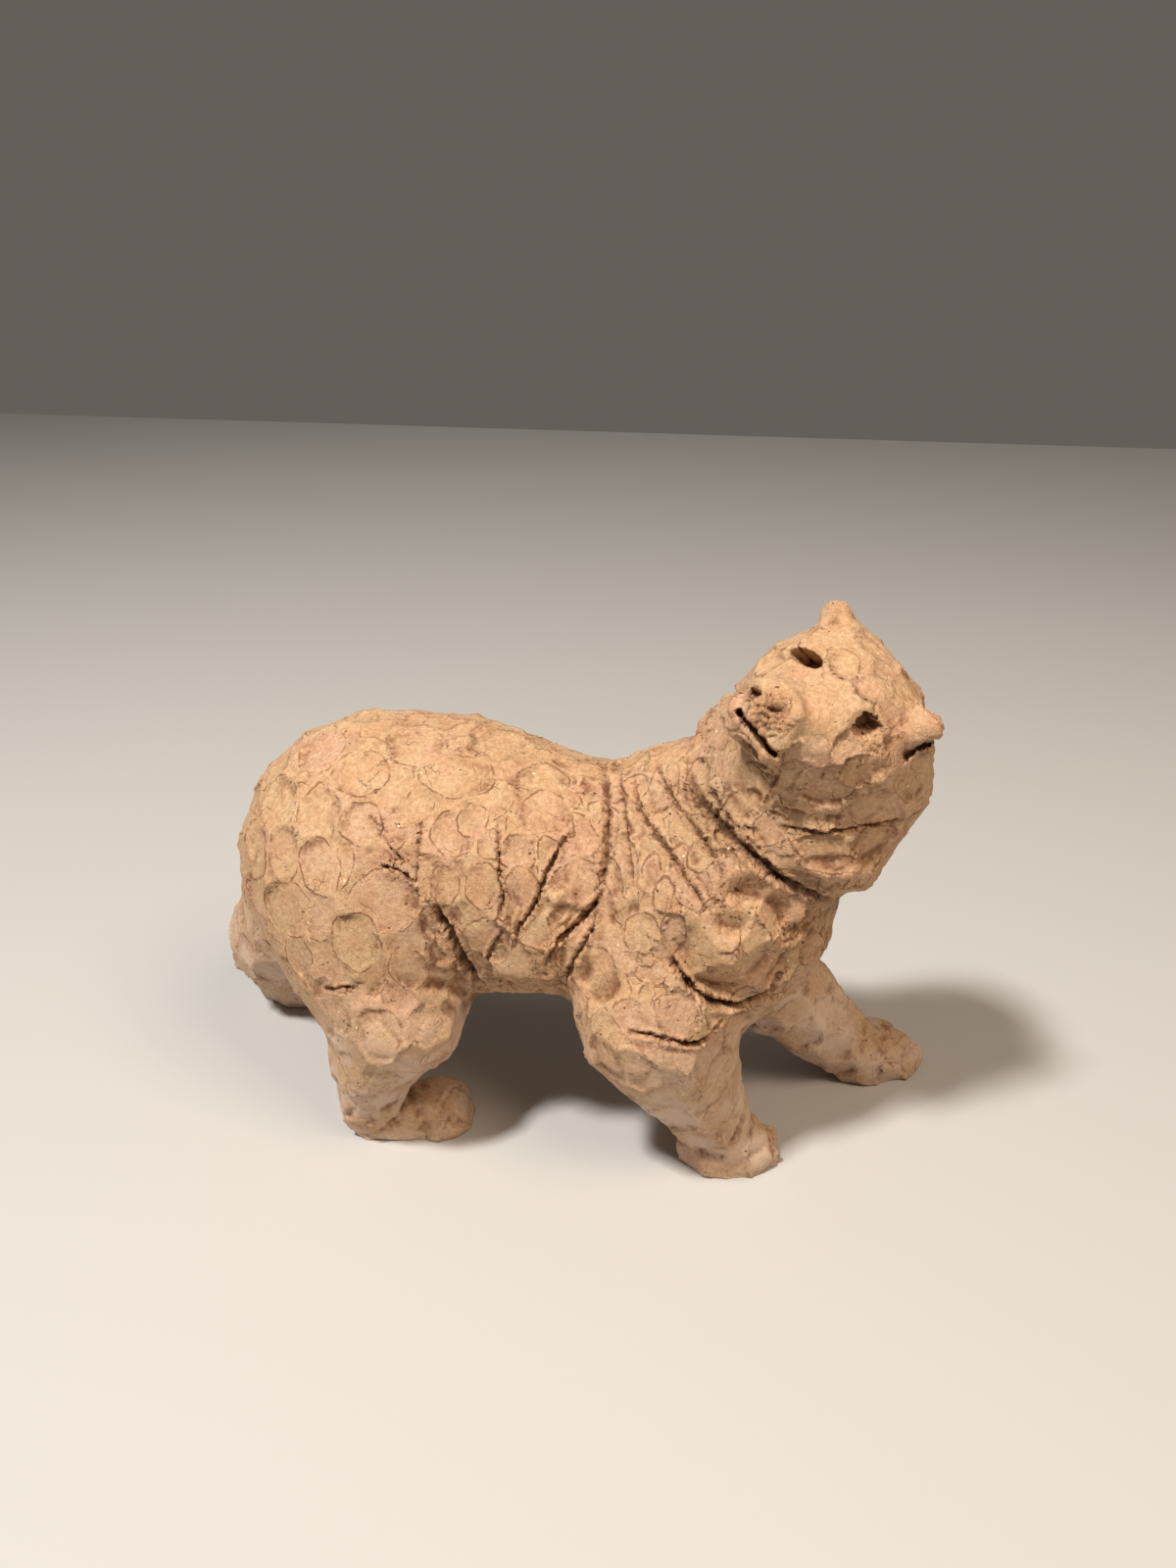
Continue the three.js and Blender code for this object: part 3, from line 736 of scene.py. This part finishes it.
for points, width, depth in routesOn(work.tree):
    pressCrease(work, points, width, depth)
work.refresh()
print("creases pressed")
roughen(work)
work.refresh()
shapeFace(work)
work.points[:, 2] = np.maximum(work.points[:, 2], 0)
lowest, highest = np.array(cadLow) / millimetre, np.array(cadHigh) / millimetre
work.points = np.clip(work.points, lowest, highest)
work.refresh()
print("surface roughened")


def hollowness(work, rounds, scale):
    # how far each point lies below its surroundings, from 0 to 1
    soft = work.points
    for _ in range(rounds):
        soft = work.neighbourMeans(soft)
    return np.clip(((soft - work.points) * work.normals).sum(1) / scale, 0, 1)


def nearestRim(work):
    # for every corner of every face, how far it is inside (+) or outside (-) the newest cut that reaches the face
    mesh = work.piece.data
    corners = np.zeros(len(mesh.loops), int)
    mesh.loops.foreach_get("vertex_index", corners)
    starts = np.zeros(len(mesh.polygons), int)
    mesh.polygons.foreach_get("loop_start", starts)
    newest = np.maximum.reduceat(work.owner[corners], starts)
    oldest = np.minimum.reduceat(work.owner[corners], starts)
    sizes = np.diff(np.append(starts, len(corners)))
    cutAt = np.repeat(newest, sizes)
    stack = {key: np.array([cut[key] for cut in work.cuts]) for key in work.cuts[0]}
    away = work.points[corners] - stack["middle"][cutAt]
    x = (away * stack["across"][cutAt]).sum(1)
    y = (away * stack["along"][cutAt]).sum(1)
    angle = np.arctan2(y, x)
    phase = stack["phase"][cutAt]
    waver = np.sin(2 * angle + phase) + 0.7 * np.sin(5 * angle + 2 * phase)
    reach = np.hypot(x, y) / (1 + scoop["waver"] * waver)
    size = np.minimum(1 / np.linalg.norm(stack["across"], axis=1), 1 / np.linalg.norm(stack["along"], axis=1))
    distance = (1 - reach) * size[cutAt]
    return np.where(cutAt < 0, 9.0, distance), oldest


def addMark(piece, name, values, domain):
    mark = piece.data.attributes.new(name, "FLOAT", domain)
    mark.data.foreach_set("value", np.asarray(values, np.float32))


def markSkin(work):
    rim, owner = nearestRim(work)
    tints = chance.uniform(0, 1, len(work.cuts) + 1)
    addMark(work.piece, "rim", rim, "CORNER")
    addMark(work.piece, "tint", tints[owner], "FACE")
    # where painted shade goes in creases, slits and holes
    addMark(work.piece, "grooveShade", work.grooveShade, "POINT")
    addMark(work.piece, "torn", work.torn, "POINT")
    # where painted shade goes in small and broad hollows
    addMark(work.piece, "hollowShade", hollowness(work, 5, 0.32), "POINT")
    addMark(work.piece, "deepShade", hollowness(work, 60, 2.2), "POINT")


markSkin(work)
print("marks added;", sum(len(p.vertices) - 2 for p in bear.data.polygons), "triangles")


# Terracotta: low-fired earthenware with grog, cut and pinched by hand and left bare. It scatters light like
# dry stone, with no gloss; the kiln gave it yellow and pink patches, and painted shade darkens what is hollow.
clayLook = {
    "tan": "CFB08D",
    "yellow": "CDAC84",
    "pink": "D2AB92",
    "orange": "C89A74",
    "bloom": "D6BDA8",
    # the next brown paints the burr lines, and painted shade in hollows and cracks
    "brown": "74492E",
    # the next colour is painted shade, in creases, slits, holes and pits
    "shadeDark": "3C2416",
    "grog": "F2E2CC",
    "roughness": 0.9,
    "patch": 26.0,  # millimetres across, as all the sizes below
    "smallPatch": 7.0,
    "speck": 1.7,
    "grain": 0.55,
    "drag": 1.4,
    "rimLine": 0.24,
    "crackCell": 6.5,
}


def linear(hexCode):
    parts = [int(hexCode[i:i + 2], 16) / 255 for i in (0, 2, 4)]
    return [p / 12.92 if p <= 0.04045 else ((p + 0.055) / 1.055) ** 2.4 for p in parts] + [1.0]


def addNode(tree, kind, links=None, **settings):
    # links maps an input's name to the output that feeds it, or to a plain value
    made = tree.nodes.new(kind)
    for name, value in settings.items():
        setattr(made, name, value)
    for name, source in (links or {}).items():
        if isinstance(source, bpy.types.NodeSocket):
            tree.links.new(source, made.inputs[name])
        else:
            made.inputs[name].default_value = source
    return made


def newMaterial(name):
    material = bpy.data.materials.new(name)
    material.use_nodes = True
    material.node_tree.nodes.clear()
    return material


def perMetre(size):
    return 1 / (size * millimetre)


def makeTerracotta():
    material = newMaterial("bareTerracotta")
    tree = material.node_tree
    spot = addNode(tree, "ShaderNodeTexCoord").outputs["Object"]

    def mark(name):
        return addNode(tree, "ShaderNodeAttribute", attribute_name=name).outputs["Fac"]

    def grain(size, detail=3.0, rough=0.55, stretch=None):
        place = spot
        if stretch:
            place = addNode(tree, "ShaderNodeMapping", {"Vector": spot, "Scale": stretch}).outputs[0]
        links = {"Vector": place, "Scale": perMetre(size), "Detail": detail, "Roughness": rough}
        return addNode(tree, "ShaderNodeTexNoise", links).outputs["Fac"]

    def band(value, low, high, start=0.0, end=1.0):
        # start below low, end above high, and a smooth change between
        links = {"Value": value, "From Min": low, "From Max": high, "To Min": start, "To Max": end}
        made = addNode(tree, "ShaderNodeMapRange", links, interpolation_type="SMOOTHSTEP")
        return made.outputs[0]

    def maths(operation, a, b=0.0):
        made = addNode(tree, "ShaderNodeMath", operation=operation)
        for socket, value in zip(made.inputs, (a, b)):
            if isinstance(value, bpy.types.NodeSocket):
                tree.links.new(value, socket)
            else:
                socket.default_value = value
        return made.outputs[0]

    def mixed(share, a, b, blend="MIX"):
        made = addNode(tree, "ShaderNodeMix", data_type="RGBA", blend_type=blend)
        for name, value in ((0, share), (6, a), (7, b)):
            if isinstance(value, bpy.types.NodeSocket):
                tree.links.new(value, made.inputs[name])
            else:
                made.inputs[name].default_value = value
        return made.outputs[2]

    def wobbled(size, reach):
        # the spot moved about by up to reach, so that cells and lines lose their straight sides
        jitter = addNode(tree, "ShaderNodeTexNoise", {"Vector": spot, "Scale": perMetre(size), "Detail": 3.0})
        shift = addNode(tree, "ShaderNodeVectorMath", {"Scale": reach * millimetre}, operation="SCALE")
        tree.links.new(jitter.outputs["Color"], shift.inputs[0])
        made = addNode(tree, "ShaderNodeVectorMath", operation="ADD")
        tree.links.new(spot, made.inputs[0])
        tree.links.new(shift.outputs[0], made.inputs[1])
        return made.outputs[0]

    tone = {name: linear(clayLook[name]) for name in ("tan", "yellow", "pink", "orange", "bloom", "brown")}
    tone["shadeDark"], tone["grog"] = linear(clayLook["shadeDark"]), linear(clayLook["grog"])

    # kiln patches: broad ones, and one tint for each cut
    patch = grain(clayLook["patch"])
    colour = mixed(band(patch, 0.42, 0.62, 0, 0.6), tone["tan"], tone["yellow"])
    colour = mixed(band(grain(clayLook["patch"] * 0.8, 2.0), 0.5, 0.68, 0, 0.8), colour, tone["pink"])
    colour = mixed(band(mark("tint"), 0.5, 0.8, 0, 0.35), colour, tone["yellow"])
    colour = mixed(band(mark("tint"), 0.35, 0.1, 0, 0.4), colour, tone["pink"])
    colour = mixed(band(grain(clayLook["smallPatch"], 5.0, 0.65), 0.4, 0.62, 0, 0.45), colour, tone["orange"])

    # fine mottling, as grains of several colours make
    fineGrain = band(grain(1.3, 5.0, 0.75), 0.3, 0.7)
    shade = mixed(fineGrain, linear("D6CCC2"), linear("FFFFFF"))
    colour = mixed(1.0, colour, shade, "MULTIPLY")

    # pale bloom on the legs
    height = addNode(tree, "ShaderNodeSeparateXYZ", {"Vector": spot}).outputs["Z"]
    low = band(height, 0.075, 0.035)
    bloom = maths("MULTIPLY", low, band(grain(14, 4.0, 0.6), 0.4, 0.62, 0.1, 0.8))
    colour = mixed(bloom, colour, tone["bloom"])

    # torn clay is redder
    colour = mixed(maths("MULTIPLY", mark("torn"), 0.7), colour, tone["orange"])

    # a thin brown burr round each cut, broken here and there
    wander = maths("MULTIPLY", maths("SUBTRACT", grain(2.2, 4.0, 0.7), 0.5), 1.6)
    fromRim = maths("ABSOLUTE", maths("ADD", mark("rim"), wander))
    line = band(fromRim, clayLook["rimLine"] * 1.6, clayLook["rimLine"] * 0.4)
    line = maths("MULTIPLY", line, band(grain(4.5, 4.0), 0.4, 0.58, 0.0, 0.95))
    line = maths("MULTIPLY", line, band(height, 0.05, 0.09, 0.35, 1.0))
    line = maths("MULTIPLY", line, band(height, 0.125, 0.142, 1.0, 0.45))
    colour = mixed(maths("MULTIPLY", line, 0.8), colour, tone["brown"])

    # hair cracks, where the clay dried while it was worked, each darkened with painted shade
    cracks = addNode(tree, "ShaderNodeTexVoronoi", {
        "Vector": wobbled(4.0, 5.0),
        "Scale": perMetre(clayLook["crackCell"]),
    }, feature="DISTANCE_TO_EDGE")
    crack = maths("MULTIPLY", band(cracks.outputs["Distance"], 0.026, 0.0), band(grain(8, 3.0), 0.53, 0.68))
    colour = mixed(maths("MULTIPLY", crack, 0.5), colour, tone["brown"])

    # painted shade in the hollows and creases: brown in small and broad hollows, near black in creases, slits and holes
    hollowShade = maths("MULTIPLY", mark("hollowShade"), band(grain(1.6, 3.0), 0.3, 0.65, 0.2, 0.9))
    colour = mixed(maths("MULTIPLY", hollowShade, 0.9), colour, tone["brown"])
    # painted shade, brown, in the broad hollows between parts
    colour = mixed(maths("MULTIPLY", mark("deepShade"), 0.75), colour, tone["brown"])
    # painted shade, near black, along creases, slits and poked holes
    colour = mixed(maths("MULTIPLY", band(mark("grooveShade"), 0.5, 1.0), 0.65), colour, tone["shadeDark"])

    # pits left by grog that fell out, thickest where the clay is torn, each darkened with painted shade
    cells = addNode(tree, "ShaderNodeTexVoronoi", {
        "Vector": wobbled(1.5, 2.2),
        "Scale": perMetre(clayLook["speck"]),
    })
    chosen = addNode(tree, "ShaderNodeSeparateColor", {"Color": cells.outputs["Color"]}).outputs[0]
    often = maths("ADD", maths("MULTIPLY", mark("torn"), 0.48), band(grain(11, 3.0), 0.5, 0.72, 0.012, 0.2))
    isPit = maths("LESS_THAN", chosen, often)
    pit = maths("MULTIPLY", isPit, band(cells.outputs["Distance"], 0.26, 0.12))
    colour = mixed(maths("MULTIPLY", pit, 0.85), colour, tone["shadeDark"])
    isGrog = maths("GREATER_THAN", chosen, 0.985)
    grog = maths("MULTIPLY", isGrog, band(cells.outputs["Distance"], 0.22, 0.12))
    colour = mixed(grog, colour, tone["grog"])

    # bump: dragged grain, pits and burrs
    fine = maths("MULTIPLY", grain(clayLook["grain"], 4.0, 0.7), 0.34)
    drag = maths("MULTIPLY", grain(clayLook["drag"], 5.0, 0.7, (1, 1, 0.45)), 0.6)
    lumps = maths("ADD", fine, drag)
    lumps = maths("ADD", lumps, maths("MULTIPLY", line, 0.25))
    lumps = maths("SUBTRACT", lumps, maths("MULTIPLY", pit, 0.5))
    lumps = maths("SUBTRACT", lumps, maths("MULTIPLY", crack, 0.4))
    tornGrain = maths("MULTIPLY", mark("torn"), grain(1.1, 4.0, 0.7))
    lumps = maths("ADD", lumps, maths("MULTIPLY", tornGrain, 1.3))
    bump = addNode(tree, "ShaderNodeBump", {"Height": lumps, "Distance": millimetre, "Strength": 0.9})
    shader = addNode(tree, "ShaderNodeBsdfPrincipled", {
        "Base Color": colour,
        "Roughness": clayLook["roughness"],
        "Specular IOR Level": 0.25,
        "Normal": bump.outputs[0],
    })
    addNode(tree, "ShaderNodeOutputMaterial", {"Surface": shader.outputs[0]})
    return material


bear.data.materials.clear()
bear.data.materials.append(makeTerracotta())
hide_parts("bear")
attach(bear, "root")

# A plain pale floor and soft light from the upper left
studio = {
    "floorSize": 3.0,
    "floor": "B9B8B6",
    "keyPlace": (-0.40, -0.60, 1.36),
    "keySize": 0.16,
    "keyPower": 30.0,
    "keyColour": "FFFAF4",
    "fillPlace": (0.62, -0.42, 1.1),
    "fillSize": 0.5,
    "fillPower": 9.0,
    "fillColour": "FFE6CC",
    "sky": "EDE2D6",
    "skyStrength": 0.15,
}


def addStudio():
    bpy.ops.mesh.primitive_plane_add(size=studio["floorSize"])
    floor = bpy.context.object
    floor.name = "floor"
    material = newMaterial("palePaper")
    shader = addNode(material.node_tree, "ShaderNodeBsdfPrincipled", {
        "Base Color": linear(studio["floor"]),
        "Roughness": 0.8,
    })
    addNode(material.node_tree, "ShaderNodeOutputMaterial", {"Surface": shader.outputs[0]})
    floor.data.materials.append(material)
    for name in ("key", "fill"):
        place = Vector(studio[name + "Place"])
        turn = (Vector((0, 0, 0.08)) - place).to_track_quat("-Z", "Y").to_euler()
        bpy.ops.object.light_add(type="AREA", location=place, rotation=turn)
        lamp = bpy.context.object.data
        lamp.size = studio[name + "Size"]
        lamp.energy = studio[name + "Power"]
        lamp.color = linear(studio[name + "Colour"])[:3]
    world = bpy.data.worlds.new("softSky")
    world.use_nodes = True
    bpy.context.scene.world = world
    bpy.context.scene.view_settings.view_transform = "Standard"
    background = world.node_tree.nodes["Background"]
    background.inputs["Color"].default_value = linear(studio["sky"])
    background.inputs["Strength"].default_value = studio["skyStrength"]


addStudio()
print("studio ready")
